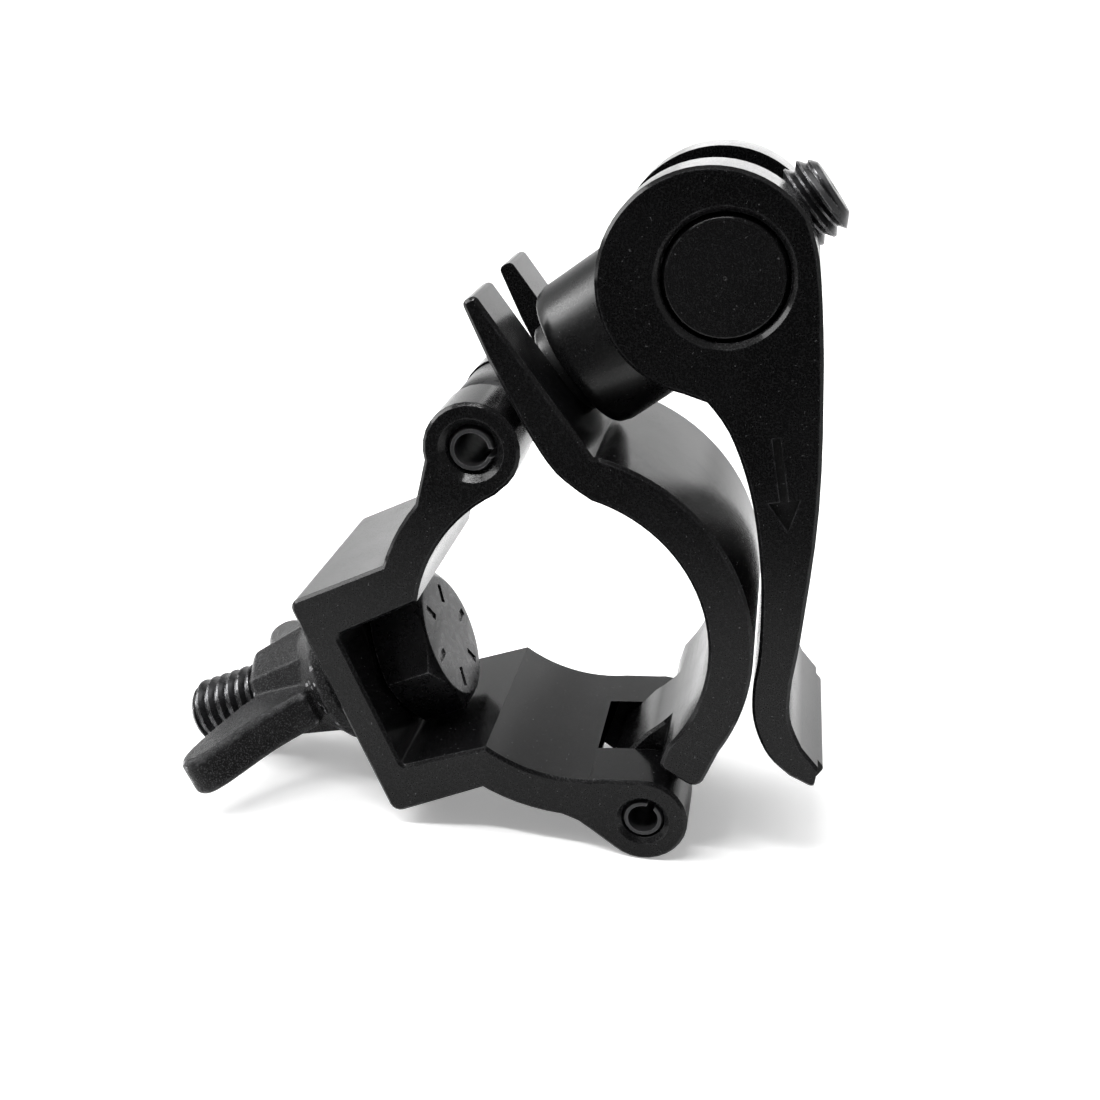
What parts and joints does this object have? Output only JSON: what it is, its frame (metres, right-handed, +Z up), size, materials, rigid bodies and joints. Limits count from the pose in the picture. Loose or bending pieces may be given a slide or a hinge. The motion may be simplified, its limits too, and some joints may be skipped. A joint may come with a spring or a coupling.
{
  "type": "quick-lever pipe clamp",
  "caption": "Hinged two-jaw clamp that grips a round tube with a cam lever on a swing stud and carries a fixing bolt with a wing nut.",
  "frame": {"origin": "on the base jaw's bore axis at the clamp's mid-width", "axes": "+Y along the tube the clamp grips, away from the pictured side; +Z up with the clamp standing on its bolt end and hinge knuckle; +X from the fixing bolt towards the lever handle"},
  "size_m": [0.1109, 0.0514, 0.1096],
  "materials": {
    "jaw_coating": "satin black coating on an aluminium extrusion",
    "lever_coating": "satin black coating on an aluminium extrusion",
    "black_steel": "blackened steel",
    "collar_steel": "blackened steel, satin turned",
    "cast_nut": "glossy black plated casting"
  },
  "bodies": {
    "base": {"base_jaw": "jaw_coating", "hinge_pin": "black_steel", "swing_pin": "black_steel", "fixing_bolt": "black_steel"},
    "jaw": {"top_jaw": "jaw_coating"},
    "stud": {"swing_stud": "black_steel"},
    "nut": {"collar": "collar_steel", "trunnion": "black_steel"},
    "lever": {"cam_lever": "lever_coating"},
    "washer": {"flat_washer": "black_steel"},
    "wing": {"wing_nut": "cast_nut"}
  },
  "joints": [
    {"name": "stud_swing", "type": "hinge", "parent": "base", "child": "stud", "pos_m": [-0.01728, 0, 0.02814], "axis": [0, -1, 0], "range_deg": [0, 75]},
    {"name": "nut_back_off", "type": "slide", "parent": "stud", "child": "nut", "axis": [0.7793, 0, 0.6266], "range_m": [0, 0.0206]},
    {"name": "jaw_open", "type": "hinge", "parent": "base", "child": "jaw", "pos_m": [0.01244, 0, -0.0313], "axis": [0, 1, 0], "range_deg": [0, 7.6]},
    {"name": "lever_open", "type": "hinge", "parent": "nut", "child": "lever", "pos_m": [0.01747, 0, 0.05609], "axis": [0, -1, 0], "range_deg": [0, 150]},
    {"name": "washer_travel", "type": "slide", "parent": "base", "child": "washer", "axis": [-0.9003, 0, -0.4352], "range_m": [0, 0.0042]},
    {"name": "wing_turn", "type": "hinge", "parent": "washer", "child": "wing", "pos_m": [0, 0, 0], "axis": [-0.9003, 0, -0.4352], "range_deg": [0, 720]}
  ],
  "couplings": [
    {"joint": "nut_back_off", "follows": "stud_swing", "m_per_rad": 0.0157},
    {"joint": "jaw_open", "follows": "stud_swing", "ratio": 0.1},
    {"joint": "washer_travel", "follows": "wing_turn", "m_per_rad": 0.000334}
  ]
}
